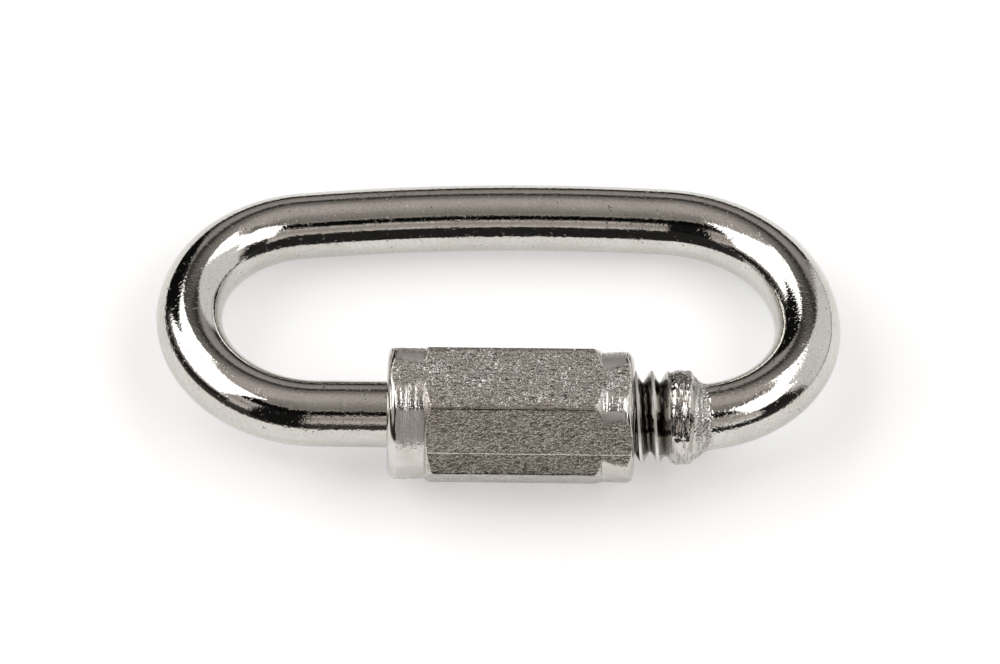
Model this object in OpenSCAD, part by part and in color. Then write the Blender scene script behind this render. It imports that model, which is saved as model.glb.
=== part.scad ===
// Quick link: a bent round bar whose mouth is closed by a long hexagonal sleeve nut.
// The link lies as it comes to rest, on one flat of the nut and on the far bar.
// X runs along the nut, Y across the loop and Z up. The origin is the middle of the
// footprint. The mouth is drawn with its middle at x = 0 and the nut's axis on y = 0.

/* [Bar] */
// Diameter of the round bar
bar_d = 4; // [3.6:0.1:4.4]
// Bend radius beside the thread, left end
bend_left_near = 7.8; // [7:0.1:9]
// Bend radius beside the far bar, left end
bend_left_far = 7.6; // [7:0.1:9]
// Bend radius beside the thread, right end
bend_right_near = 7; // [6.5:0.1:9]
// Bend radius beside the far bar, right end
bend_right_far = 9; // [7:0.1:10]
// Radius of the slight bow of the far bar
bow_radius = 121; // [80:1:300]

/* [Mouth] */
// Clear opening between the two threaded ends
opening = 5; // [4:0.1:6]
// Reach of the opened nut past the start of the left bend
bend_overlap = 2.8; // [1.5:0.1:3]
// Straight length of the right end before its bend starts
right_leg = 5.4; // [4.6:0.1:6]

/* [Thread] */
// Outer diameter of the thread
thread_d = 5.52; // [5.3:0.02:5.8]
// Advance for one turn of the nut
thread_pitch = 1; // [0.9:0.05:1.1]
// Depth of the thread
thread_depth = 0.66; // [0.5:0.02:0.7]
// Width of the flat on the thread's crest
crest_width = 0.2; // [0.1:0.01:0.3]
// Width of the flat at the thread's root
root_width = 0.12; // [0.08:0.01:0.2]
// Turns of the left thread
left_turns = 5.6; // [5:0.1:6.5]
// Turns that the closed nut holds on the right end
held_turns = 4; // [3:1:4]
// Turns that the nut is backed off, as the link lies
turns_back = 2; // [0:1:3]
// Bevel on the two threaded ends
thread_bevel = 0.55; // [0.3:0.05:0.7]

/* [Collar] */
// Diameter of the collar behind the right thread
collar_d = 5.7; // [5.6:0.02:6.2]
// Length of the collar
collar_len = 1.45; // [1:0.05:2]
// Rounding of the collar's edges
collar_round = 0.3; // [0.1:0.05:0.4]
// Length of the shoulders that swell the bar out to the thread
swell_len = 0.9; // [0.6:0.05:1.2]

/* [Nut] */
// Length of the sleeve nut
nut_len = 14.8; // [14:0.1:16]
// Width of the nut across its flats
nut_flats = 7.68; // [7.4:0.02:8.4]
// Radial clearance of the bore over the thread
thread_clear = 0.06; // [0.04:0.01:0.1]
// Clearance between the closed nut and the collar
seat_clear = 0.1; // [0.05:0.01:0.3]
// Length of the turned collar at the nut's left end
turned_left = 2.15; // [1.5:0.05:3]
// Length of the turned collar at the nut's right end
turned_right = 1.9; // [1.5:0.05:3]
// Height of both turned collars above the flats, at their shoulders
foot_proud = 0.06; // [0.03:0.01:0.15]
// Height of the left turned collar above the flats, at its end
left_proud = 0.2; // [0.15:0.01:0.35]
// Height of the right turned collar above the flats, at its end
right_proud = 0.32; // [0.15:0.01:0.35]
// Rounding of the nut's ends, along the nut
end_round_len = 0.6; // [0.3:0.05:0.9]
// Rounding of the nut's ends, across the nut
end_round_depth = 0.8; // [0.4:0.05:0.9]
// Slope of the bevels that lead up to the hexagon's corners
bevel_angle = 42; // [30:1:60]

/* [Hidden] */
$fn = 64;
thread_seg = 31;
bar_r = bar_d / 2;
thread_r = thread_d / 2;
root_r = thread_r - thread_depth;
bury = 0.3;
crest_gap = 0.05;
hair = 0.00000005;

// The mouth, along X
left_face = -opening / 2;
right_face = opening / 2;
left_leg = nut_len - bend_overlap;
left_tangent = left_face - left_leg;
right_tangent = right_face + right_leg;
left_thread_start = left_face - left_turns * thread_pitch;
nut_closed_end = right_face + held_turns * thread_pitch;
collar_face = nut_closed_end + seat_clear;
nut_end = nut_closed_end - turns_back * thread_pitch;
nut_start = nut_end - nut_len;

// The loop: tangent arcs from the right leg round to the left leg. The bow's centre is
// where it touches both far bends. Its ends are kept to a thousandth of a degree, and
// each bend is then placed from the one before it, so that they meet face to face.
right_near_c = [right_tangent, bend_right_near];
right_far_c = next_centre(right_near_c, bend_right_near, bend_right_far, 0);
left_far_goal = [left_tangent - bend_left_near + bend_left_far, bend_left_near];
span = left_far_goal - right_far_c;
right_reach = bow_radius - bend_right_far;
left_reach = bow_radius - bend_left_far;
bow_along = (norm(span) ^ 2 + right_reach ^ 2 - left_reach ^ 2) / (2 * norm(span));
bow_aside = sqrt(right_reach ^ 2 - bow_along ^ 2);
bow_goal = right_far_c + (span * bow_along + [-span.y, span.x] * bow_aside) / norm(span);
bow_from = thousandths(direction(bow_goal, right_far_c));
bow_to = thousandths(direction(bow_goal, left_far_goal));
bow_c = next_centre(right_far_c, bend_right_far, bow_radius, bow_from);
left_far_c = next_centre(bow_c, bow_radius, bend_left_far, bow_to);
left_near_c = next_centre(left_far_c, bend_left_far, bend_left_near, 180);
loop_width = bow_c.y + bow_radius;

// The lie: the nut's lower flat and the far bar both touch z = 0
axis_height = nut_flats / 2;
lie_angle = asin((axis_height - bar_r) / loop_width);
corner_r = nut_flats / 2 / cos(30);
footprint_x = (left_tangent - bend_left_near + right_tangent + bend_right_near) / 2;
footprint_y = (loop_width * cos(lie_angle) + bar_r - corner_r) / 2;

// The nut's turned ends. The bevels are drawn on past the corners.
left_end_r = nut_flats / 2 + left_proud;
right_end_r = nut_flats / 2 + right_proud;
foot_r = nut_flats / 2 + foot_proud;
past_r = corner_r + 1;
past_len = (past_r - foot_r) / tan(bevel_angle);

function direction(from, to) = atan2(to.y - from.y, to.x - from.x);

function thousandths(v) = round(v * 1000) / 1000;

// Centre of the bend that goes on from another at an angle, and starts a hair inside it
function next_centre(centre, radius, next_radius, angle) =
    centre + (radius - next_radius) * [cos(angle), sin(angle)] + hair * [sin(angle), -cos(angle)];

// Quarter of an ellipse as points [radius, height], from angle a to angle b
function quarter(centre, size, a, b) =
    [for (i = [0:6]) centre + [size.x * cos(a + (b - a) * i / 6), size.y * sin(a + (b - a) * i / 6)]];

// Moves its children to a point in two steps, thousandths first, so that no digit is lost
module place(point) {
    coarse = [thousandths(point.x), thousandths(point.y)];
    translate(coarse)
        translate(point - coarse)
            children();
}

// Lays the Z axis of its children along X
module along_x() {
    rotate([0, 90, 0])
        children();
}

// Moves the link from its drawing position to the way it lies
module lying(angle) {
    translate([-footprint_x, -footprint_y, axis_height])
        rotate([-angle, 0, 0])
            children();
}

// One bend of the bar, from one angle to the other
module bend(centre, radius, from, to) {
    place(centre)
        rotate_extrude(start = from, angle = to - from)
            translate([radius, 0])
                circle(r = bar_r);
}

// Right-hand thread round the Z axis, longer than the stretch [from, to] by a turn at
// each end. Crests lie at whole pitches from z = 0, so all threads made here are in step.
module helix(from, to) {
    first = floor(from / thread_pitch) - 1;
    steps = ceil((to - from) / thread_pitch + 2) * thread_seg;
    crest = crest_width / thread_pitch;
    root = root_width / thread_pitch;
    flank = (1 - crest - root) / 2;
    offsets = [0, crest, crest + flank, 1 - flank];
    radii = [thread_r, thread_r, root_r, root_r];
    lines = len(offsets);
    turn_points = thread_seg * lines;
    points = [
        for (n = [0:steps + thread_seg]) for (m = [0:lines - 1])
            [radii[m] * cos(360 * n / thread_seg),
             radii[m] * sin(360 * n / thread_seg),
             thread_pitch * (first + n / thread_seg + offsets[m])]
    ];
    low = len(points);
    high = low + 1;
    last = steps * lines;
    ends = [
        [0, 0, thread_pitch * (first + 0.5)],
        [0, 0, thread_pitch * (first + steps / thread_seg + 0.5)]
    ];
    function at(n, m) = m < lines ? n * lines + m : n * lines + turn_points;
    sides = [for (n = [0:steps - 1]) for (m = [0:lines - 1]) each [
        [at(n, m), at(n, m + 1), at(n + 1, m)],
        [at(n, m + 1), at(n + 1, m + 1), at(n + 1, m)]
    ]];
    start_rim = [for (n = [0:thread_seg]) n * lines, for (m = [lines - 1:-1:1]) m];
    end_rim = [for (n = [0:thread_seg]) last + n * lines, for (m = [lines - 1:-1:1]) last + m];
    start_cap = [for (i = [0:len(start_rim) - 1]) [
        low, start_rim[i], start_rim[(i + 1) % len(start_rim)]
    ]];
    end_cap = [for (i = [0:len(end_rim) - 1]) [
        high, end_rim[(i + 1) % len(end_rim)], end_rim[i]
    ]];
    polyhedron(points = concat(points, ends), faces = concat(sides, start_cap, end_cap));
}

// Left end: the bar swells out to the thread, whose crests fade along the swelling
module left_end() {
    start = left_near_c.x - hair;
    outer = thread_r + crest_gap;
    swell_start = left_thread_start - swell_len;
    place([start, left_near_c.y - bend_left_near])
        along_x()
            cylinder(h = swell_start + swell_len / 2 - start, r = bar_r);
    along_x()
        intersection() {
            helix(swell_start - bury, left_face);
            rotate_extrude()
                polygon([
                    [0, swell_start - bury],
                    [bar_r - bury, swell_start - bury],
                    [outer, left_thread_start],
                    [outer, left_face - thread_bevel],
                    [outer - thread_bevel, left_face],
                    [0, left_face]
                ]);
        }
}

// Right end: the thread runs out against a rounded collar, which falls to the bar
module right_end() {
    outer = thread_r + crest_gap;
    collar_r = collar_d / 2;
    collar_end = collar_face + collar_len;
    runout = collar_face - 2 * thread_depth / 3;
    round_size = [collar_round, collar_round];
    along_x() {
        intersection() {
            helix(right_face, collar_face + bury);
            rotate_extrude()
                polygon([
                    [0, right_face],
                    [outer - thread_bevel, right_face],
                    [outer, right_face + thread_bevel],
                    [outer, collar_face + bury],
                    [0, collar_face + bury]
                ]);
        }
        rotate_extrude()
            polygon([
                [0, runout],
                [root_r - crest_gap, runout],
                [collar_r - collar_round, collar_face],
                each quarter([collar_r, collar_face] + [-collar_round, collar_round], round_size, -75, 0),
                each quarter([collar_r, collar_end] - round_size, round_size, 0, 45),
                [bar_r - bury, collar_end + swell_len],
                [0, collar_end + swell_len]
            ]);
    }
}

module link_bar() {
    color("silver")
        lying(lie_angle) {
            right_end();
            bend(right_near_c, bend_right_near, -90, 0);
            bend(right_far_c, bend_right_far, 0, bow_from);
            bend(bow_c, bow_radius, bow_from, bow_to);
            bend(left_far_c, bend_left_far, bow_to, 180);
            bend(left_near_c, bend_left_near, 180, 270);
            left_end();
        }
}

// Hexagonal bar with both ends turned down, bored through
module sleeve_nut() {
    round_size = [end_round_depth, end_round_len];
    color("lightgray")
        lying(0)
            translate([nut_start, 0, 0])
                along_x()
                    difference() {
                        intersection() {
                            rotate([0, 0, 30])
                                cylinder(h = nut_len, r = corner_r, $fn = 6);
                            rotate_extrude()
                                polygon([
                                    [0, 0],
                                    each quarter([left_end_r, 0] + [-end_round_depth, end_round_len],
                                                 round_size, -90, 0),
                                    [foot_r, turned_left],
                                    [past_r, turned_left + past_len],
                                    [past_r, nut_len - turned_right - past_len],
                                    [foot_r, nut_len - turned_right],
                                    each quarter([right_end_r, nut_len] - round_size, round_size, 0, 90),
                                    [0, nut_len]
                                ]);
                        }
                        translate([0, 0, -1])
                            cylinder(h = nut_len + 2, r = thread_r + thread_clear);
                    }
}

link_bar();
sleeve_nut();
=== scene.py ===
from math import asin, atan2, cos, hypot, pi, radians, sin, sqrt, tan, tau

import bmesh
import bpy
import numpy as np
from mathutils import Matrix, Vector


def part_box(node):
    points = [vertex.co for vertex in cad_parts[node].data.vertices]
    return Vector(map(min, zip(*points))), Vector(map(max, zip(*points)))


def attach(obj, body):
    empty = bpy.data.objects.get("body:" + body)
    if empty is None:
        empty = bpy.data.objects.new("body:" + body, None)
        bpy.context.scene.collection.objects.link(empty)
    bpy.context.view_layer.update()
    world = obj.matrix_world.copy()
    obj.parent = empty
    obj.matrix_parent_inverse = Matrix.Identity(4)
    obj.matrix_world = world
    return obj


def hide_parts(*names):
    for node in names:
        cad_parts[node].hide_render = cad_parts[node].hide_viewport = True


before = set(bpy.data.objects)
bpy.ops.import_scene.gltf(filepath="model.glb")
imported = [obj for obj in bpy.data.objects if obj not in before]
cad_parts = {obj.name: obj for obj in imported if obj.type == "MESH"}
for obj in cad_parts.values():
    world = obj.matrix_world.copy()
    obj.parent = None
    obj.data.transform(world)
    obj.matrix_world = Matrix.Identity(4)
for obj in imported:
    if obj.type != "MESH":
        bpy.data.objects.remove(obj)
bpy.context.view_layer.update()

MM = 0.001

# ---------------------------------------------------------------- the link's dimensions, mm
# The drawing has the nut's axis on y = 0, the middle of the mouth at x = 0 and the loop
# flat in z = 0. Afterwards it is tipped, so that it rests on the nut and the far bar.
BAR_R = 2.0
BEND_LEFT_NEAR = 7.8
BEND_LEFT_FAR = 7.6
BEND_RIGHT_NEAR = 7.0
BEND_RIGHT_FAR = 9.0
BOW_R = 121.0
LEFT_FACE = -2.5
RIGHT_FACE = 2.5
LEFT_TANGENT = -14.5
RIGHT_TANGENT = 7.9
SWELL_START = -9.1
LEFT_THREAD_START = -8.1
COLLAR_FACE = 6.6
NUT_START = -10.3
NUT_LEN = 14.8
NUT_APOTHEM = 3.84
# The thread. The widths are shares of the pitch, which is 1 mm.
PITCH = 1.0
THREAD_R = 2.76
ROOT_R = 2.10
CREST_W = 0.2
ROOT_W = 0.12
FLANK_W = (1 - CREST_W - ROOT_W) / 2


def rising(value, start, length):
    """0 up to start, 1 a length further on, and straight between them."""
    return np.clip((value - start) / length, 0, 1)


def falling(value, end, length):
    """0 from end on, 1 a length before it, and straight between them."""
    return np.clip((end - value) / length, 0, 1)


def smooth_min(a, b, width):
    """The lower of two numbers, rounded where they cross."""
    h = np.clip(0.5 + 0.5 * (b - a) / width, 0, 1)
    return b * (1 - h) + a * h - width * h * (1 - h)


def smooth_max(a, b, width):
    return -smooth_min(-np.asarray(a, float), -np.asarray(b, float), width)


def random_waves(seed, count, low, high):
    """A repeatable sum of waves in an angle and a length, about -1 to 1."""
    rng = np.random.default_rng(seed)
    turns = rng.integers(low, high, count)
    lengths = rng.uniform(-high / 3, high / 3, count)
    shifts = rng.uniform(0, tau, count)

    def wave(angle, x):
        total = sum(np.sin(t * angle + l * x + s) for t, l, s in zip(turns, lengths, shifts))
        return total / sqrt(count)
    return wave


# ---------------------------------------------------------------- the loop's centreline
def loop_arcs():
    """The bends as (centre, radius, from angle, to angle), from the right leg round to the left."""
    right_near = np.array([RIGHT_TANGENT, BEND_RIGHT_NEAR])
    right_far = right_near + [BEND_RIGHT_NEAR - BEND_RIGHT_FAR, 0]
    left_near = np.array([LEFT_TANGENT, BEND_LEFT_NEAR])
    left_far = left_near + [BEND_LEFT_FAR - BEND_LEFT_NEAR, 0]
    span = left_far - right_far
    length = hypot(*span)
    right_reach = BOW_R - BEND_RIGHT_FAR
    left_reach = BOW_R - BEND_LEFT_FAR
    along = (length ** 2 + right_reach ** 2 - left_reach ** 2) / (2 * length)
    aside = sqrt(right_reach ** 2 - along ** 2)
    bow = right_far + (span * along + np.array([-span[1], span[0]]) * aside) / length
    start = atan2(*(right_far - bow)[::-1])
    end = atan2(*(left_far - bow)[::-1])
    return [
        (right_near, BEND_RIGHT_NEAR, -pi / 2, 0.0),
        (right_far, BEND_RIGHT_FAR, 0.0, start),
        (bow, BOW_R, start, end),
        (left_far, BEND_LEFT_FAR, end, pi),
        (left_near, BEND_LEFT_NEAR, pi, 1.5 * pi),
    ]


ARCS = loop_arcs()
BOW_CENTRE = ARCS[2][0]
LOOP_WIDTH = BOW_CENTRE[1] + BOW_R
LIE = asin((NUT_APOTHEM - BAR_R) / LOOP_WIDTH)
FOOTPRINT_X = (LEFT_TANGENT - BEND_LEFT_NEAR + RIGHT_TANGENT + BEND_RIGHT_NEAR) / 2
nut_low, nut_high = (np.array(corner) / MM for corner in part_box("sleeve_nut"))
AXIS_Y = (nut_low[1] + nut_high[1]) / 2
AXIS_Z = (nut_low[2] + nut_high[2]) / 2


def to_frame(points, lie):
    """Drawing millimetres to the frame's metres, tipped by the angle lie."""
    x, y, z = np.moveaxis(np.asarray(points, float), -1, 0)
    return MM * np.stack([
        x - FOOTPRINT_X,
        y * cos(lie) + z * sin(lie) + AXIS_Y,
        z * cos(lie) - y * sin(lie) + AXIS_Z,
    ], -1)


# ---------------------------------------------------------------- mesh building
WELD = 2e-7
SLIVER = 1e-7
SHARP_FROM = radians(40)


class Surface:
    """Collects grids of points, and welds them into one closed mesh."""

    def __init__(self):
        self.points = []
        self.faces = []
        self.tags = {}

    def add(self, points, **tags):
        """Adds points, with a number for each of the surface's tags, 0 where none is given."""
        first = len(self.points)
        self.points.extend(points.reshape(-1, 3))
        for name in {**self.tags, **tags}:
            known = self.tags.setdefault(name, [])
            known.extend([0.0] * (first - len(known)))
            if name in tags:
                known.extend(np.broadcast_to(tags[name], points.shape[:-1]).reshape(-1))
            known.extend([0.0] * (len(self.points) - len(known)))
        return first

    def tube(self, grid, **tags):
        """Rings of points, each ring closed on itself."""
        first = self.add(grid, **tags)
        rings, around = grid.shape[:2]
        for i in range(rings - 1):
            for j in range(around):
                a = first + i * around + j
                b = first + i * around + (j + 1) % around
                self.faces.append((a, b, b + around, a + around))

    def strip(self, grid, per_turn, **tags):
        """A helix: row n, profile point k. The profile goes on from row n to row n + per_turn."""
        first = self.add(grid, **tags)
        rows, profile = grid.shape[:2]

        def index(n, k):
            return first + n * profile + k if k < profile else first + (n + per_turn) * profile
        for n in range(rows - per_turn - 1):
            for k in range(profile):
                self.faces.append((index(n, k), index(n + 1, k), index(n + 1, k + 1), index(n, k + 1)))

    def disc(self, ring, centre):
        first = self.add(np.vstack([ring, centre[None]]))
        around = len(ring)
        for j in range(around):
            self.faces.append((first + j, first + (j + 1) % around, first + around))

    def make(self, name, lie):
        mesh = bpy.data.meshes.new(name)
        mesh.from_pydata([tuple(p) for p in to_frame(np.array(self.points), lie)], [], self.faces)
        for tag, values in self.tags.items():
            layer = mesh.attributes.new(tag, "FLOAT", "POINT")
            layer.data.foreach_set("value", np.array(values, dtype=np.float32))
        work = bmesh.new()
        work.from_mesh(mesh)
        bmesh.ops.remove_doubles(work, verts=work.verts, dist=WELD)
        bmesh.ops.dissolve_degenerate(work, edges=work.edges, dist=SLIVER)
        bmesh.ops.recalc_face_normals(work, faces=work.faces)
        work.to_mesh(mesh)
        work.free()
        mesh.shade_smooth()
        mesh.set_sharp_from_angle(angle=SHARP_FROM)
        piece = bpy.data.objects.new(name, mesh)
        bpy.context.scene.collection.objects.link(piece)
        return piece


def round_about_x(x, radius, angle):
    """Points at an angle about the nut's axis. Angle 0 is the underside."""
    x, radius, angle = np.broadcast_arrays(x, radius, angle)
    return np.stack([x, radius * np.sin(angle), -radius * np.cos(angle)], -1)


SPARE_TURNS = 2


def helix_grid(angles, profile, low, high, radius):
    """Rows of a helix between two planes. Points past a plane are drawn back onto it."""
    offsets = np.array([p[0] for p in profile])
    per_turn = len(angles)
    first = int(np.floor(low / PITCH)) - SPARE_TURNS
    turns = int(np.ceil((high - low) / PITCH)) + 2 * SPARE_TURNS
    n = np.arange(turns * per_turn)
    angle = angles[n % per_turn]
    start = PITCH * (first + n // per_turn + angle / tau)
    x = np.clip(start[:, None] + PITCH * offsets[None], low, high)
    angle = np.broadcast_to(angle[:, None], x.shape)
    return x, round_about_x(x, radius(x, angle), angle)


def profile_radius(profile, x, angle):
    """Radius of a thread at a place: its profile repeats along the helix."""
    phase = (x / PITCH - angle / tau) % 1
    offsets = np.array([p[0] for p in profile] + [1.0])
    radii = np.array([p[1] for p in profile] + [profile[0][1]])
    return np.interp(phase, offsets, radii)


# ---------------------------------------------------------------- the bent bar
AROUND = 96
BAR_ANGLES = np.arange(AROUND) * tau / AROUND
CREST_EDGE = 0.035
ROOT_EDGE = 0.02
MID_FLANK_R = (THREAD_R + ROOT_R) / 2
OUTER_PROFILE = [
    (0.0, THREAD_R - CREST_EDGE), (CREST_EDGE, THREAD_R), (CREST_W - CREST_EDGE, THREAD_R),
    (CREST_W, THREAD_R - CREST_EDGE), (CREST_W + FLANK_W / 2, MID_FLANK_R),
    (CREST_W + FLANK_W, ROOT_R + ROOT_EDGE), (CREST_W + FLANK_W + ROOT_W / 2, ROOT_R),
    (1 - FLANK_W, ROOT_R + ROOT_EDGE), (1 - FLANK_W / 2, MID_FLANK_R),
]
# A cone cuts the thread back at each end of the mouth, and the swell is a cone too. Each of
# them ends just clear of the crests.
CONE_TOP_R = THREAD_R + 0.05
MOUTH_BEVEL = 0.55

# The squeezed collar right of the thread: place and radius. It runs into the plain bar.
COLLAR_R = 2.85
COLLAR_PROFILE = np.array([
    (6.05, ROOT_R - 0.05), (6.6, 2.5), (6.68, 2.66), (6.8, 2.78), (6.95, COLLAR_R),
    (7.38, COLLAR_R), (7.43, COLLAR_R - 0.045), (7.5, COLLAR_R - 0.045), (7.56, COLLAR_R - 0.005),
    (7.82, COLLAR_R - 0.03), (7.94, COLLAR_R - 0.15), (8.02, 2.58), (8.14, 2.46),
    (8.3, 2.32), (8.45, 2.19), (8.58, 2.09), (8.75, 2.03), (9.0, BAR_R),
])
# The helix ends at the split, and rings go on from there. The thread stops just before it.
COLLAR_SPLIT = 6.95
THREAD_STOP = COLLAR_SPLIT - 0.01
THREAD_BLEND = 0.03
collar_dents = random_waves(seed=11, count=14, low=5, high=40)
DENT_DEPTH = 0.018
DENTS_ALONG = 3
DENTS_RISE = 0.4
DENTS_END = 8.2
DENTS_FALL = 0.3
bead_teeth = random_waves(seed=23, count=10, low=16, high=44)
TEETH_SLICE = 1.7
BEAD_X = 8.25
BEAD_W = 0.06
BEAD_HEIGHT = 0.03
TOOTH_HEIGHT = 0.02

# Where the bar's metal looks different, by place along it. The collar looks cut, to the end of
# the flare, and the thread a little. The die's knurl starts at the flare, and goes on faintly.
THREAD_CUT = 0.12
CUT_RISE = 0.1
FLARE_START = 8.0
FLARE_END = 9.0
FLARE_FADE = 0.3
KNURL_RISE = 0.1
KNURL_END = 11.0
KNURL_FADE = 1.5
FAINT_KNURL = 0.15
# The thread's crests are worn white over the top of their height. Painted shade darkens the grooves from
# just under them. Both fade out towards the collar, and the painted shade also towards the swell.
CREST_WORN = 0.02
SHADE_BELOW_CREST = 0.03
THREAD_FADE = 0.2

# Spacing of the rings: in mm along the marked length, and in radians round the other bends.
MARKED_STEP = 0.05
BEND_STEP = radians(1.5)
BOW_STEP = radians(0.4)
LEFT_LEG_RINGS = 8


def collar_radius(x, angle):
    """The squeezed collar with its die marks, and the toothed bead beside the bar."""
    radius = np.interp(x, COLLAR_PROFILE[:, 0], COLLAR_PROFILE[:, 1])
    fade = rising(x, COLLAR_FACE, DENTS_RISE) * falling(x, DENTS_END, DENTS_FALL)
    radius = radius + fade * DENT_DEPTH * (collar_dents(angle, DENTS_ALONG * x) - 1)
    ridge = np.exp(-((x - BEAD_X) / BEAD_W) ** 2)
    return radius + ridge * (BEAD_HEIGHT + TOOTH_HEIGHT * bead_teeth(angle, TEETH_SLICE))


def right_radius(x, angle):
    bevel = CONE_TOP_R - MOUTH_BEVEL + np.clip(x - RIGHT_FACE, 0, MOUTH_BEVEL)
    thread = np.minimum(profile_radius(OUTER_PROFILE, x, angle), bevel)
    thread = np.where(x > THREAD_STOP, 0.0, thread)
    return smooth_max(thread, collar_radius(x, angle), THREAD_BLEND)


def left_radius(x, angle):
    swell = BAR_R + (CONE_TOP_R - BAR_R) * rising(x, SWELL_START, LEFT_THREAD_START - SWELL_START)
    bevel = CONE_TOP_R - MOUTH_BEVEL + np.clip(LEFT_FACE - x, 0, MOUTH_BEVEL)
    return np.minimum(profile_radius(OUTER_PROFILE, x, angle), np.minimum(swell, bevel))


def loop_stations():
    """Centre points and headings of the rings, from the collar round to the left thread."""
    stations = [((x, 0.0), (1.0, 0.0)) for x in np.arange(COLLAR_SPLIT, RIGHT_TANGENT, MARKED_STEP)]
    steps = (MARKED_STEP / BEND_RIGHT_NEAR, BEND_STEP, BOW_STEP, BEND_STEP, BEND_STEP)
    for (centre, radius, start, end), step in zip(ARCS, steps):
        count = int(np.ceil((end - start) / step))
        for angle in np.linspace(start, end, count, endpoint=False):
            place = centre + radius * np.array([cos(angle), sin(angle)])
            stations.append((tuple(place), (-sin(angle), cos(angle))))
    for x in np.linspace(LEFT_TANGENT, SWELL_START, LEFT_LEG_RINGS):
        stations.append(((x, 0.0), (1.0, 0.0)))
    return np.moveaxis(np.array(stations), 1, 0)


def thread_tags(x, grid):
    """How far the metal looks cut, and how far it lies on a crest or deep in the groove."""
    reach = np.hypot(grid[..., 1], grid[..., 2])
    cut = THREAD_CUT + (1 - THREAD_CUT) * rising(x, COLLAR_FACE, CUT_RISE)
    crest = rising(reach, THREAD_R - CREST_WORN, CREST_WORN)
    groove = falling(reach, THREAD_R - SHADE_BELOW_CREST, THREAD_R - SHADE_BELOW_CREST - ROOT_R)
    before_collar = falling(x, COLLAR_FACE, THREAD_FADE)
    past_swell = rising(x, LEFT_THREAD_START, THREAD_FADE)
    return {"cut": cut, "crest": crest * before_collar, "groove": groove * before_collar * past_swell}


def build_bar():
    surface = Surface()
    for low, high, radius in (
            (RIGHT_FACE, COLLAR_SPLIT, right_radius), (SWELL_START, LEFT_FACE, left_radius)):
        x, grid = helix_grid(BAR_ANGLES, OUTER_PROFILE, low, high, radius)
        surface.strip(grid, AROUND, **thread_tags(x, grid))

    places, headings = loop_stations()
    steps = np.hypot(*np.diff(places, axis=0).T)
    along = COLLAR_SPLIT + np.concatenate([[0.0], np.cumsum(steps)])[:, None]
    radius = right_radius(along, BAR_ANGLES)
    side = radius * np.sin(BAR_ANGLES)
    rings = np.stack([
        places[:, :1] - headings[:, 1:] * side,
        places[:, 1:] + headings[:, :1] * side,
        -radius * np.cos(BAR_ANGLES),
    ], -1)
    cut = falling(along, FLARE_END, FLARE_FADE)
    knurl = np.maximum(cut, FAINT_KNURL * falling(along, KNURL_END, KNURL_FADE))
    surface.tube(rings, cut=cut, knurl=knurl * rising(along, FLARE_START, KNURL_RISE))

    for x, radius in ((RIGHT_FACE, right_radius), (LEFT_FACE, left_radius)):
        ring = round_about_x(x, radius(x, BAR_ANGLES), BAR_ANGLES)
        surface.disc(ring, np.array([x, 0.0, 0.0]))
    return surface.make("link_bar_steel", LIE)


# ---------------------------------------------------------------- the sleeve nut
SIDE_TURN = radians(60)
HALF_TURN = SIDE_TURN / 2
CORNER_ROUND = 0.1
# Angles round one side of the hexagon, in degrees from a corner: close together beside it.
HALF_SIDE = np.concatenate([[0, 0.5, 1.0, 1.6, 2.4], np.arange(4, 30, 1.5)])
SIDE = np.radians(np.concatenate([HALF_SIDE, [30], 60 - HALF_SIDE[:0:-1]]))
NUT_ANGLES = np.sort(np.concatenate([radians(30 + 60 * k) + SIDE for k in range(6)]) % tau)

# The bore and its thread. Its mouths are opened by a long taper on the left, a short one on
# the right.
BORE_R = 2.82
RIDGE_R = 2.2
RIDGE_HALF = 0.07
RIDGE_MIDDLE = CREST_W + FLANK_W + ROOT_W / 2
INNER_PROFILE = [
    (0.0, BORE_R), (CREST_W, BORE_R),
    (RIDGE_MIDDLE - RIDGE_HALF, RIDGE_R), (RIDGE_MIDDLE + RIDGE_HALF, RIDGE_R),
]
MOUTH_R = 2.95
LEFT_TAPER = 0.55
RIGHT_TAPER = 1.0

# The turned ends: their radius beyond the flats at the end and at the foot, how far off centre
# the lathe ran to the back and up, the length turned, the shoulder's angle in degrees, and how
# far in the rounding starts.
LEFT_END = {
    "proud": 0.27, "foot": 0.18, "offset": (0.35, -0.12), "turned": 2.22, "bevel": 57,
    "round_depth": 0.8}
RIGHT_END = {
    "proud": 0.21, "foot": 0.09, "offset": (-0.13, 0.0), "turned": 1.93, "bevel": 48,
    "round_depth": 0.95}
OFFSET_BLEND = 1.1
FACE_RINGS = 5
END_ROUND_LEN = 0.6
END_ROUND_RINGS = 12
BEVEL_REACH = 1.2
EDGE_LINE_DEPTH = 0.025
EDGE_BLEND = 0.05
MIDDLE_RINGS = 12
FAR_OUT = 9.0

# The lathe's rings, and the metal torn where the tool left the cut. The torn part starts just
# before a corner and reaches nearly to the middle of the next flat.
lathe_rng = np.random.default_rng(5)
RING_STEP = 0.11
RING_DEPTH = 0.024
TORN_FROM = radians(-3)
TORN_RISE = radians(3)
TORN_FALL = radians(6)
TORN_TURN = radians(32)
TORN_LEAST = 0.12

# How smooth each part of an end is, from 0 for frosted to 1 for bright.
FACE_POLISH = 0.7
ROUND_POLISH = 1.0
BAND_POLISH = 0.0
BEVEL_POLISH = 0.6
# Where the turned metal gives way to the skin, and how far the skin is worn round a corner.
TURNED_BLEND = 0.04
CORNER_REACH = radians(2.4)
CORNER_FADE = radians(1.0)


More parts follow.
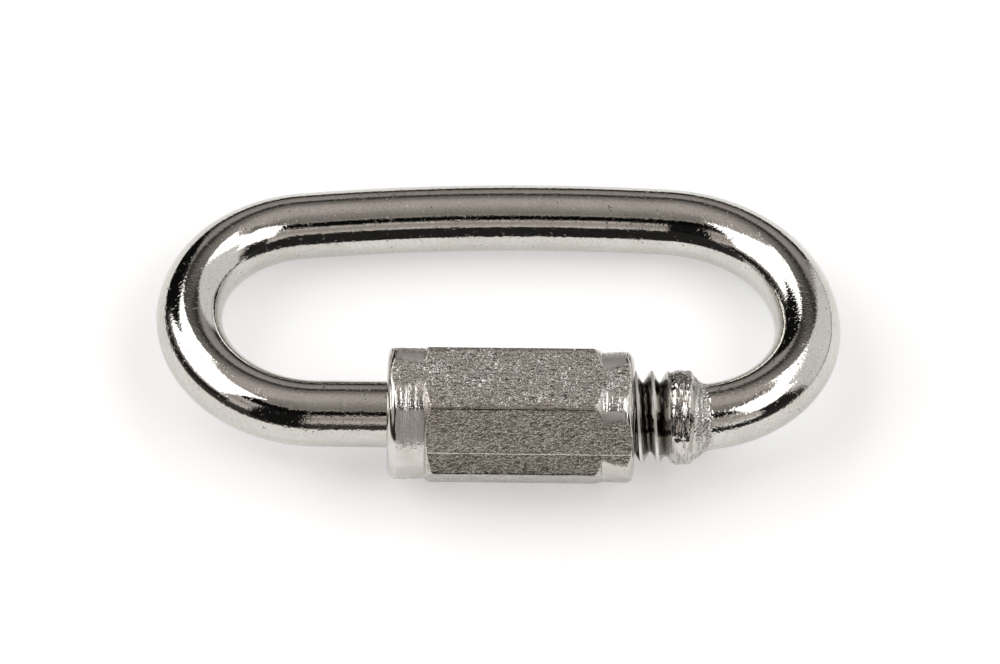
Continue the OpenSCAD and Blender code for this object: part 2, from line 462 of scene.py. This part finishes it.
def hexagon_radius(angle):
    """Distance from the axis to a hexagon with flats above and below and rounded corners."""
    turn = np.abs((angle + HALF_TURN) % SIDE_TURN - HALF_TURN)
    inner = (NUT_APOTHEM - CORNER_ROUND) / cos(HALF_TURN)
    flat = NUT_APOTHEM / np.cos(turn)
    away = HALF_TURN - turn
    arc = inner * np.cos(away) + np.sqrt(
        np.maximum(CORNER_ROUND ** 2 - (inner * np.sin(away)) ** 2, 0))
    edge = atan2((NUT_APOTHEM - CORNER_ROUND) * tan(HALF_TURN), NUT_APOTHEM)
    return np.where(turn > edge, arc, flat)


def lathe_marks(count, depth):
    """Uneven rings left by the tool: how far each one stands out, or in."""
    marks = lathe_rng.normal(0, 1, count)
    return depth * np.clip(marks, -2, 1)


def turned_end(end):
    """Profile of one end from the bore out, as [distance along, radius, ring mark, polish]."""
    end_r = NUT_APOTHEM + end["proud"]
    foot_r = NUT_APOTHEM + end["foot"]
    depth = end["round_depth"]
    face = [
        (0.0, r, 0.0, FACE_POLISH)
        for r in np.linspace(MOUTH_R, end_r - depth, FACE_RINGS, endpoint=False)]
    rounding = [
        (END_ROUND_LEN * (1 - cos(a)), end_r - depth * (1 - sin(a)), 0.0, ROUND_POLISH)
        for a in np.linspace(0, pi / 2, END_ROUND_RINGS, endpoint=False)]
    xs = np.arange(END_ROUND_LEN, end["turned"], RING_STEP)
    along = (xs - END_ROUND_LEN) / (end["turned"] - END_ROUND_LEN)
    band_r = end_r + (foot_r - end_r) * along
    band_r[0] -= EDGE_LINE_DEPTH
    band = np.stack([xs, band_r, lathe_marks(len(xs), RING_DEPTH), np.full(len(xs), BAND_POLISH)], -1)
    rise = np.arange(0, BEVEL_REACH, RING_STEP)
    bevel = np.stack([
        end["turned"] + rise / tan(radians(end["bevel"])), foot_r + rise,
        lathe_marks(len(rise), RING_DEPTH / 2), np.full(len(rise), BEVEL_POLISH)], -1)
    return np.vstack([face, rounding, band, bevel])


def off_centre(radius, offset, angle):
    """A turned circle's distance from the nut's axis, where the lathe ran off centre."""
    y, z = offset
    blend = rising(radius, MOUTH_R, OFFSET_BLEND)
    toward = blend * (y * np.sin(angle) - z * np.cos(angle))
    return toward + np.sqrt(radius ** 2 - (blend * hypot(y, z)) ** 2 + toward ** 2)


def torn(angle):
    """1 beside each corner, where the tool tore the metal as it left the cut, and low elsewhere."""
    past = (HALF_TURN - TORN_FROM - angle) % SIDE_TURN
    return TORN_LEAST + (1 - TORN_LEAST) * rising(past, 0, TORN_RISE) * falling(past, TORN_TURN, TORN_FALL)


def bore_radius(x, angle):
    left_mouth = MOUTH_R - (x - NUT_START) * LEFT_TAPER
    right_mouth = MOUTH_R - (NUT_START + NUT_LEN - x) * RIGHT_TAPER
    lead = np.maximum(left_mouth, right_mouth)
    return np.maximum(profile_radius(INNER_PROFILE, x, angle), lead)


def build_nut():
    surface = Surface()
    angles = NUT_ANGLES[None]
    hexagon = hexagon_radius(NUT_ANGLES)[None]
    left = turned_end(LEFT_END)
    right = turned_end(RIGHT_END)[::-1]
    right[:, 0] = NUT_LEN - right[:, 0]
    middle_x = np.linspace(left[-1, 0], right[0, 0], MIDDLE_RINGS + 2)[1:-1]
    turned = np.vstack([
        off_centre(left[:, 1:2], LEFT_END["offset"], angles) + left[:, 2:3] * torn(angles),
        np.full((MIDDLE_RINGS, len(NUT_ANGLES)), FAR_OUT),
        off_centre(right[:, 1:2], RIGHT_END["offset"], angles) + right[:, 2:3] * torn(angles),
    ])
    along = np.concatenate([left[:, 0], middle_x, right[:, 0]])[:, None]
    polish = np.concatenate([left[:, 3], np.zeros(MIDDLE_RINGS), right[:, 3]])[:, None]
    from_corner = np.abs((angles + SIDE_TURN) % SIDE_TURN - HALF_TURN)
    surface.tube(
        round_about_x(NUT_START + along, smooth_min(turned, hexagon, EDGE_BLEND), angles),
        turned=np.clip(0.5 + (hexagon - turned) / TURNED_BLEND, 0, 1),
        corner=falling(from_corner, CORNER_REACH, CORNER_FADE), torn=torn(angles), polish=polish)
    grid = helix_grid(NUT_ANGLES, INNER_PROFILE, NUT_START, NUT_START + NUT_LEN, bore_radius)[1]
    surface.strip(grid, len(NUT_ANGLES), turned=1.0)
    return surface.make("sleeve_nut_steel", 0.0)


bar = build_bar()
nut = build_nut()
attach(bar, "link")
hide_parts("link_bar")
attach(nut, "nut")
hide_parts("sleeve_nut")


# ---------------------------------------------------------------- node helpers
NOISE_MIDDLE = 0.5


def grey(level):
    return (level, level, level, 1)


class Nodes:
    """Short ways to write a shader's arithmetic. A value is a number or a node's output."""

    def __init__(self, tree):
        self.tree = tree

    def new(self, kind, **settings):
        node = self.tree.nodes.new(kind)
        for key, value in settings.items():
            setattr(node, key, value)
        return node

    def put(self, socket, value):
        if isinstance(value, bpy.types.NodeSocket):
            self.tree.links.new(value, socket)
        else:
            socket.default_value = value

    def math(self, operation, *values):
        node = self.new("ShaderNodeMath", operation=operation)
        for socket, value in zip(node.inputs, values):
            self.put(socket, value)
        return node.outputs[0]

    def plus(self, first, *others):
        for other in others:
            first = self.math("ADD", first, other)
        return first

    def times(self, first, *others):
        for other in others:
            first = self.math("MULTIPLY", first, other)
        return first

    def less(self, a, b):
        return self.math("SUBTRACT", a, b)

    def spread(self, value, low, high, to_low, to_high, kind="LINEAR"):
        """Maps a range to another, and holds its ends. Either range may run downwards."""
        node = self.new("ShaderNodeMapRange", interpolation_type=kind)
        for socket, item in zip(node.inputs, (value, low, high, to_low, to_high)):
            self.put(socket, item)
        return node.outputs[0]

    def step(self, value, start, end):
        """0 up to start, 1 from end on, and smooth between them. End may be below start."""
        return self.spread(value, start, end, 0.0, 1.0, "SMOOTHSTEP")

    def window(self, value, low, high, soft):
        rise = self.step(value, low - soft, low + soft)
        fall = self.step(value, high + soft, high - soft)
        return self.times(rise, fall)

    def mix(self, factor, a, b, kind="MIX"):
        node = self.new("ShaderNodeMix", data_type="RGBA", blend_type=kind)
        self.put(node.inputs[0], factor)
        self.put(node.inputs[6], a)
        self.put(node.inputs[7], b)
        return node.outputs[2]

    def coats(self, colour, coats):
        """A colour under coats of (share, colour), each over the one before."""
        for share, coat in coats:
            colour = self.mix(share, colour, coat)
        return colour

    def ramp(self, value, stops):
        """A ramp of greys from (place, level) stops."""
        node = self.new("ShaderNodeValToRGB")
        elements = node.color_ramp.elements
        while len(elements) < len(stops):
            elements.new(0.5)
        for element, (place, level) in zip(elements, stops):
            element.position = place
            element.color = grey(level)
        self.put(node.inputs[0], value)
        return node.outputs[0]

    def attribute(self, name):
        return self.new("ShaderNodeAttribute", attribute_name=name).outputs["Fac"]

    def stretched(self, vector, scale):
        node = self.new("ShaderNodeMapping")
        self.put(node.inputs["Vector"], vector)
        node.inputs["Scale"].default_value = scale
        return node.outputs[0]

    def noise(self, vector, scale, detail=2.0, roughness=0.5, distortion=0.0):
        node = self.new("ShaderNodeTexNoise")
        self.put(node.inputs["Vector"], vector)
        node.inputs["Scale"].default_value = scale
        node.inputs["Detail"].default_value = detail
        node.inputs["Roughness"].default_value = roughness
        node.inputs["Distortion"].default_value = distortion
        return node.outputs[0]

    def swing(self, noise, share):
        """A noise's swing about its middle, scaled by a share, so that the share leaves no step."""
        return self.times(self.less(noise, NOISE_MIDDLE), share)

    def bumps(self, layers):
        """A normal from layers of (height, distance in metres), each over the one before."""
        normal = None
        for height, distance in layers:
            node = self.new("ShaderNodeBump")
            node.inputs["Strength"].default_value = 1.0
            node.inputs["Distance"].default_value = distance
            self.put(node.inputs["Height"], height)
            if normal is not None:
                self.put(node.inputs["Normal"], normal)
            normal = node.outputs[0]
        return normal


def new_material(name):
    material = bpy.data.materials.new(name)
    material.use_nodes = True
    tree = material.node_tree
    return material, Nodes(tree), tree.nodes["Principled BSDF"]


# ---------------------------------------------------------------- the two steels
# A noise's scale is in cells per metre, or per unit of the stretched place, and its values lie
# mostly between 0.3 and 0.7.
# Dark for the real pits, and also used as painted shade in the thread's grooves and darker below the nut's
# line.
GRIME_AND_SHADE = (0.05, 0.042, 0.035, 1)
WORN_WHITE_AND_SHEEN = (0.95, 0.93, 0.9, 1)
BAR_CLEAN = (0.68, 0.66, 0.625, 1)
BAR_SMEARED = (0.6, 0.58, 0.54, 1)
COLLAR_BROWN = (0.3, 0.27, 0.24, 1)
SCUFF_BROWN = (0.25, 0.23, 0.2, 1)
SKIN_DARK = (0.26, 0.242, 0.218, 1)
SKIN_LIGHT = (0.74, 0.715, 0.668, 1)
SKIN_CLOUD = (0.46, 0.41, 0.35, 1)
FACE_SHADE_BROWN = (0.44, 0.39, 0.3, 1)
FLECK_WHITE = (0.98, 0.97, 0.95, 1)
TURNED_CLEAN = (0.66, 0.635, 0.605, 1)
TURNED_CLOUD = (0.54, 0.51, 0.47, 1)


def bar_look():
    """Tumbled bright steel: a mirror with a fine grain, small dark pits, and painted shade in the thread's
    grooves.
    """
    material, nodes, shader = new_material("tumbled_bar_steel")
    place = nodes.new("ShaderNodeTexCoord").outputs["Object"]
    cut = nodes.attribute("cut")
    crest = nodes.attribute("crest")
    groove = nodes.attribute("groove")
    knurl = nodes.attribute("knurl")

    patches = nodes.noise(place, 260, detail=3, roughness=0.6)
    grain = nodes.noise(place, 7500, detail=0.6)
    peel = nodes.noise(place, 1500, detail=1)
    teeth = nodes.noise(place, 7000, detail=0.5)
    dents = nodes.noise(place, 2600, detail=1)
    turning = nodes.noise(nodes.stretched(place, (6000, 1100, 1100)), 1, detail=1)
    flecks = nodes.step(nodes.noise(place, 7600, detail=0.5), 0.7, 0.8)
    pits = nodes.step(nodes.noise(place, 4200, detail=1), 0.7, 0.78)
    scuffs = nodes.step(nodes.noise(place, 3600, detail=1, distortion=1.2), 0.68, 0.76)
    mottle = nodes.spread(nodes.noise(place, 6000, detail=1.5, roughness=0.6), 0.3, 0.7, 0.0, 0.22)

    metal = nodes.mix(nodes.spread(patches, 0.35, 0.7, 0, 1), BAR_CLEAN, BAR_SMEARED)
    nodes.put(shader.inputs["Base Color"], nodes.coats(metal, [
        (nodes.times(cut, 0.7, nodes.step(turning, 0.6, 0.4)), COLLAR_BROWN),
        (nodes.times(pits, 0.6), GRIME_AND_SHADE),
        # Painted shade: the thread's grooves are darkened, and darker still deeper down.
        (nodes.times(nodes.step(groove, 0.0, 0.2), 0.5), GRIME_AND_SHADE),
        (nodes.times(nodes.step(groove, 0.35, 0.9), 0.85), GRIME_AND_SHADE),
        (nodes.times(crest, 0.9), WORN_WHITE_AND_SHEEN),
        (nodes.math("MAXIMUM", mottle, nodes.times(scuffs, 0.35)), SCUFF_BROWN),
    ]))
    shader.inputs["Metallic"].default_value = 1
    smear = nodes.spread(patches, 0.4, 0.75, 0.05, 0.1)
    dull = nodes.plus(nodes.times(cut, 0.06), nodes.times(knurl, 0.14), nodes.times(crest, 0.4))
    nodes.put(shader.inputs["Roughness"], nodes.plus(smear, dull))
    uneven = nodes.spread(patches, 0.4, 0.68, 0.4, 2.0)
    nodes.put(shader.inputs["Normal"], nodes.bumps([
        (peel, 3.5e-6),
        (nodes.swing(grain, uneven), 4.5e-6),
        (scuffs, -4e-6),
        (nodes.times(flecks, uneven), 1e-6),
        (pits, -5e-6),
        (nodes.swing(turning, cut), 5e-5),
        (nodes.swing(dents, cut), 8e-5),
        (nodes.swing(teeth, knurl), 9e-5),
    ]))
    return material


# The nut's upper front face, by distance from the axis, with painted shade on it, and the bright line
# drawn along it, a ridge also painted white as a painted highlight: its place down from the face's middle,
# its half width, its soft edge and its waver.
FACE_OUT = (0, -sin(radians(60)), cos(radians(60)))
FACE_DOWN = (0, -cos(radians(60)), -sin(radians(60)))
FACE_FROM = 3.74 * MM
FACE_FULL = 3.8 * MM
LINE_PLACE = 0.785 * MM
LINE_HALF = 0.03 * MM
LINE_SOFT = 0.02 * MM
LINE_WAVER = 0.05 * MM
BELOW_LINE = 0.08 * MM


def face_masks(nodes, place):
    """Masks of the nut's upper front face, of the bright line on it, and of the part below."""
    from_axis = nodes.new("ShaderNodeVectorMath", operation="SUBTRACT")
    nodes.put(from_axis.inputs[0], place)
    from_axis.inputs[1].default_value = (0, AXIS_Y * MM, AXIS_Z * MM)

    def along(direction):
        dot = nodes.new("ShaderNodeVectorMath", operation="DOT_PRODUCT")
        nodes.put(dot.inputs[0], from_axis.outputs[0])
        dot.inputs[1].default_value = direction
        return dot.outputs["Value"]
    on_face = nodes.step(along(FACE_OUT), FACE_FROM, FACE_FULL)
    down = nodes.plus(along(FACE_DOWN), nodes.swing(nodes.noise(place, 400, detail=1), LINE_WAVER))
    line = nodes.window(down, LINE_PLACE - LINE_HALF, LINE_PLACE + LINE_HALF, LINE_SOFT)
    below = nodes.step(down, LINE_PLACE, LINE_PLACE + BELOW_LINE)
    return on_face, nodes.times(on_face, line), nodes.times(on_face, below)


def nut_look():
    """Drawn hexagon bar with a grey blasted skin, and ends turned bright with lathe lines."""
    material, nodes, shader = new_material("drawn_and_turned_nut_steel")
    place = nodes.new("ShaderNodeTexCoord").outputs["Object"]
    turned = nodes.attribute("turned")
    torn_share = nodes.attribute("torn")
    polish = nodes.attribute("polish")
    corner = nodes.attribute("corner")
    on_face, line, below = face_masks(nodes, place)

    grain = nodes.noise(place, 8200, detail=1, roughness=0.6)
    clouds = nodes.noise(place, 420, detail=3, roughness=0.6)
    clusters = nodes.times(nodes.noise(place, 900, detail=2), 0.45)
    specks = nodes.plus(nodes.noise(place, 6900, detail=0.8, distortion=1.2), clusters)
    flecks = nodes.times(nodes.step(specks, 0.86, 0.915), nodes.less(1.0, nodes.times(on_face, 0.75)))
    rolled = nodes.noise(nodes.stretched(place, (2600, 6500, 6500)), 1, detail=1.5, roughness=0.6)
    pits = nodes.step(rolled, 0.43, 0.36)
    scores = nodes.noise(nodes.stretched(place, (6500, 300, 300)), 1, detail=1.5, roughness=0.6)

    skin = nodes.mix(nodes.spread(grain, 0.3, 0.7, 0, 1), SKIN_DARK, SKIN_LIGHT)
    skin = nodes.coats(skin, [
        (nodes.spread(clouds, 0.4, 0.75, 0, 0.4), SKIN_CLOUD),
        (nodes.times(pits, 0.8), GRIME_AND_SHADE),
        # Painted shade: the upper front face is painted browner and darker than the other flats.
        (nodes.times(on_face, 0.3), FACE_SHADE_BROWN),
        # Darker below the line on the upper front face.
        (nodes.times(below, 0.22), GRIME_AND_SHADE),
        (nodes.times(flecks, 0.95), FLECK_WHITE),
        # Painted highlight: the die's ridge along the face is bumped, and its bright reflection is also
        # painted white.
        (nodes.times(line, 0.7), WORN_WHITE_AND_SHEEN),
    ])
    bright = nodes.mix(nodes.spread(clouds, 0.4, 0.7, 0, 1), TURNED_CLEAN, TURNED_CLOUD)
    nodes.put(shader.inputs["Base Color"], nodes.mix(turned, skin, bright))
    shader.inputs["Metallic"].default_value = 1

    unturned = nodes.less(1.0, turned)
    skin_rough = nodes.plus(nodes.less(0.26, nodes.times(corner, 0.17)), nodes.times(flecks, 0.6))
    turned_rough = nodes.times(
        nodes.spread(torn_share, TORN_LEAST, 1.0, 0.45, 0.12), nodes.spread(polish, 0.0, 1.0, 1.0, 0.25))
    nodes.put(shader.inputs["Roughness"], nodes.plus(
        nodes.times(turned, turned_rough), nodes.times(unturned, skin_rough)))

    on_skin = nodes.times(unturned, nodes.less(1.0, nodes.times(corner, 0.8)))
    frosted = nodes.times(turned, nodes.less(1.0, polish))
    nodes.put(shader.inputs["Normal"], nodes.bumps([
        (nodes.swing(grain, on_skin), 3.6e-5),
        (nodes.swing(rolled, on_skin), 2e-5),
        (nodes.times(flecks, on_skin), 3e-5),
        (nodes.swing(scores, nodes.times(turned, torn_share)), 7e-5),
        (nodes.swing(grain, frosted), 3e-5),
        (line, 1e-5),
    ]))
    return material


bar.data.materials.append(bar_look())
nut.data.materials.append(nut_look())


# ---------------------------------------------------------------- the paper and the flag
PAPER_SIZE = 0.11
PAPER_BOUNCE = 0.85
PAPER_SHADE = 0.7
PAPER_GLOW = 0.435


def paper():
    """Matt paper, white to the camera and in the metal. There a glow lifts its lit grey to
    white, and the grey keeps the shadow. Bounced light meets a plain pale paper."""
    material, nodes, shader = new_material("paper_floor")
    path = nodes.new("ShaderNodeLightPath").outputs
    seen = nodes.math("MAXIMUM", path["Is Camera Ray"], path["Is Glossy Ray"])
    nodes.put(shader.inputs["Base Color"], nodes.mix(seen, grey(PAPER_BOUNCE), grey(PAPER_SHADE)))
    shader.inputs["Roughness"].default_value = 1
    shader.inputs["Specular IOR Level"].default_value = 0
    shader.inputs["Emission Color"].default_value = grey(1.0)
    nodes.put(shader.inputs["Emission Strength"], nodes.times(seen, PAPER_GLOW))
    return material


def build_floor():
    bpy.ops.mesh.primitive_plane_add(size=PAPER_SIZE, location=(0, 0, 0))
    floor = bpy.context.object
    floor.name = "floor"
    floor.data.materials.append(paper())


# The flag is a black card, upright between the nut and the far bar, put there as painted shade: the far
# bar mirrors it where it would see the shaded backs of the nut and the near bar. Its lengths are in mm.
FLAG_HEIGHT = 7.1
FLAG_LENGTH = 25.0
FLAG_BEHIND_AXIS = 4.7
FLAG_MIDDLE_X = 1.0
FLAG_GREY = 0.02


def shade_card():
    """Black towards the far bar as painted shade, and clear from the nut's side."""
    material, nodes, shader = new_material("painted_shade_flag")
    shader.inputs["Base Color"].default_value = grey(FLAG_GREY)
    shader.inputs["Roughness"].default_value = 1
    mix = nodes.new("ShaderNodeMixShader")
    nodes.put(mix.inputs[0], nodes.new("ShaderNodeNewGeometry").outputs["Backfacing"])
    nodes.put(mix.inputs[1], nodes.new("ShaderNodeBsdfTransparent").outputs[0])
    nodes.put(mix.inputs[2], shader.outputs[0])
    nodes.put(material.node_tree.nodes["Material Output"].inputs[0], mix.outputs[0])
    return material


def build_flag():
    """Makes the far bar's second dark line, a painted reflection of shade. The camera, diffuse light and
    shadows pass it by, and any polished surface that faces its black side mirrors it."""
    place = Vector((FLAG_MIDDLE_X, AXIS_Y + FLAG_BEHIND_AXIS, FLAG_HEIGHT / 2)) * MM
    upright = Matrix.Rotation(radians(90), 4, "X")
    size = Matrix.Diagonal((FLAG_LENGTH, FLAG_HEIGHT, 1, 1))
    bpy.ops.mesh.primitive_plane_add(size=MM)
    flag = bpy.context.object
    flag.name = "flag"
    flag.matrix_world = Matrix.Translation(place) @ upright @ size
    flag.visible_camera = False
    flag.visible_diffuse = False
    flag.visible_shadow = False
    flag.data.materials.append(shade_card())


# ---------------------------------------------------------------- the studio's light
# The studio round the object, as levels of light by direction. A turn is in degrees from
# the front, positive to the right, and a height is in degrees above the horizon.
FRONT_LEVELS = [
    (-5, 1.0), (-2, 0.05), (14, 0.05), (18, 0.45), (22, 0.69), (27, 0.58), (33, 0.4),
    (40, 0.42), (43, 0.7), (46, 0.26), (49, 0.003), (60, 0.003), (63, 0.33), (65, 0.33),
    (67, 0.24), (72, 0.27), (78, 0.31), (84, 0.36), (90, 0.42),
]
BACK_LEVELS = [
    (-7, 1.0), (-4, 0.04), (3, 0.02), (7, 0.12), (13, 0.3), (25, 0.4), (30, 0.28), (33, 0.06),
    (36, 0.04), (40, 0.1), (44, 0.21), (50, 0.28), (58, 0.46), (66, 0.52), (77, 0.53), (90, 0.42),
]
# The front levels hold up to the first turn to either side, and the back levels from the second.
FRONT_TO = 60.0
BACK_FROM = 130.0
SOFTBOX = 2.6
# Each panel: turns from, to, heights from, to, softness, rise of the heights per degree, level
PANELS = [
    (85, 152, -3, 48, 3, 0, 0.85),
    (85, 150, 45, 58, 1.2, 0, SOFTBOX),
    (46, 92, 33, 63, 1.2, 0, SOFTBOX),
    (48, 120, 63, 66, 1.5, 0, 0.1),
    (52, 79, 3, 31, 1.5, 0, 0.02),
    (20, 50, 12, 19, 1.5, 0, 0.95),
    (5, 72, 0, 11, 1.5, 0, 0.03),
    (-45, -8, 3, 61, 2, 0, 0.01),
    (-62, 15, 49, 60, 1.2, 0, 0.004),
    (-160, -68, 16, 60, 1.2, 0.2, SOFTBOX),
    (-125, -60, 3, 14, 1.5, 0.25, 0.02),
    (-162, -127, -2, 34, 1.5, 0, 0.006),
]
WARM = (1.05, 0.97, 0.92, 1)


def build_world():
    """The studio's light by direction, and plain white behind everything for the camera."""
    world = bpy.data.worlds.new("studio")
    bpy.context.scene.world = world
    world.use_nodes = True
    nodes = Nodes(world.node_tree)
    direction = nodes.new("ShaderNodeSeparateXYZ")
    nodes.put(direction.inputs[0], nodes.new("ShaderNodeTexCoord").outputs["Generated"])
    x, y, z = direction.outputs
    turn = nodes.math("DEGREES", nodes.math("ARCTAN2", x, nodes.times(y, -1.0)))
    height = nodes.math("DEGREES", nodes.math("ARCSINE", z))
    ramp_place = nodes.math("DIVIDE", nodes.plus(height, 90.0), 180.0)
    front, back = (
        nodes.ramp(ramp_place, [((h + 90) / 180, level) for h, level in levels])
        for levels in (FRONT_LEVELS, BACK_LEVELS))
    light = nodes.mix(nodes.step(nodes.math("ABSOLUTE", turn), FRONT_TO, BACK_FROM), front, back)
    light = nodes.mix(1, light, WARM, "MULTIPLY")
    for low, high, bottom, top, soft, rise, level in PANELS:
        shift = nodes.times(nodes.less(turn, (low + high) / 2), rise)
        across = nodes.window(turn, low, high, soft)
        up = nodes.window(nodes.less(height, shift), bottom, top, soft)
        light = nodes.mix(nodes.times(across, up), light, grey(level))
    path = nodes.new("ShaderNodeLightPath").outputs
    light = nodes.mix(path["Is Camera Ray"], light, grey(1.0))
    background = world.node_tree.nodes["Background"]
    nodes.put(background.inputs["Color"], light)
    background.inputs["Strength"].default_value = 1.0


# ---------------------------------------------------------------- the camera
# Angles in degrees, and lengths in mm, except for the far clip, in metres.
IMAGE_WIDTH = 1000
PIXELS_PER_MM = 16.61
SENSOR = 36.0
CAMERA_ELEVATION = 53.8
CAMERA_ROLL = 0.6
CAMERA_DISTANCE = 900.0
AIM = (0.10, 0.39, 2.41)
CLIP_END = 10


def build_camera():
    """A long lens, level with the nut, looking down at the loop."""
    elevation = radians(CAMERA_ELEVATION)
    roll = radians(CAMERA_ROLL)
    back = Vector((0, -cos(elevation), sin(elevation)))
    right = Vector((1, 0, 0))
    up = back.cross(right)
    right, up = right * cos(roll) + up * sin(roll), up * cos(roll) - right * sin(roll)
    data = bpy.data.cameras.new("camera")
    data.sensor_width = SENSOR
    data.lens = SENSOR * PIXELS_PER_MM * CAMERA_DISTANCE / IMAGE_WIDTH
    data.clip_end = CLIP_END
    camera = bpy.data.objects.new("camera", data)
    bpy.context.scene.collection.objects.link(camera)
    camera.matrix_world = Matrix((right, up, back)).transposed().to_4x4()
    camera.location = Vector(AIM) * MM + back * CAMERA_DISTANCE * MM
    bpy.context.scene.camera = camera


build_floor()
build_flag()
build_world()
build_camera()
bpy.context.scene.view_settings.view_transform = "Standard"
